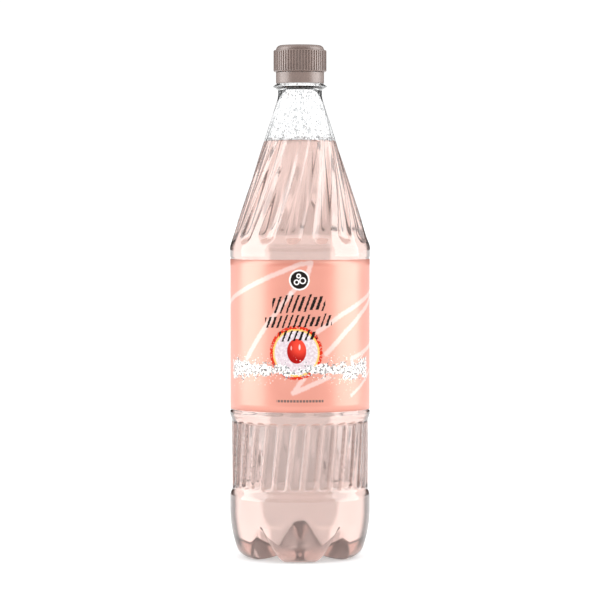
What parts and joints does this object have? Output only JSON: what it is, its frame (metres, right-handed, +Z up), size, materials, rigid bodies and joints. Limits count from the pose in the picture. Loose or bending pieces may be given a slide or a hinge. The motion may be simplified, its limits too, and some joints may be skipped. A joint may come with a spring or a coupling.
{
  "type": "soda bottle",
  "caption": "Slim clear plastic drink bottle with a petal-footed base, ribbed waist, wrap label, screw-fluted shoulder and a ribbed screw cap with tamper band.",
  "frame": {"origin": "centre of the base, on the plane the feet stand on", "axes": "+Z up along the bottle's axis, -Y towards the front of the label, +X to the right of the label seen from the front"},
  "size_m": [0.0642, 0.0642, 0.2342],
  "materials": {
    "clear_pet": "gloss",
    "drink": "gloss",
    "label_film": "satin",
    "cap_plastic": "satin",
    "liner_foam": "matte"
  },
  "bodies": {
    "bottle_body": {"bottle": "clear_pet", "soda": "drink", "label": "label_film"},
    "seal_carriage": {"cap_liner": "liner_foam"},
    "cap_body": {"cap": "cap_plastic"},
    "band_body": {"tamper_band": "cap_plastic"}
  },
  "joints": [
    {"name": "cap_lift", "type": "slide", "parent": "bottle_body", "child": "seal_carriage", "axis": [0, 0, 1], "range_m": [0, 0.0109]},
    {"name": "cap_turn", "type": "hinge", "parent": "seal_carriage", "child": "cap_body", "pos_m": [0, 0, 0.228], "axis": [0, 0, 1], "range_deg": [0, 1620]},
    {"name": "band_turn", "type": "hinge", "parent": "bottle_body", "child": "band_body", "pos_m": [0, 0, 0.219], "axis": [0, 0, 1], "continuous": true}
  ],
  "couplings": [
    {"joint": "cap_lift", "follows": "cap_turn", "m_per_rad": 0.00038197}
  ]
}
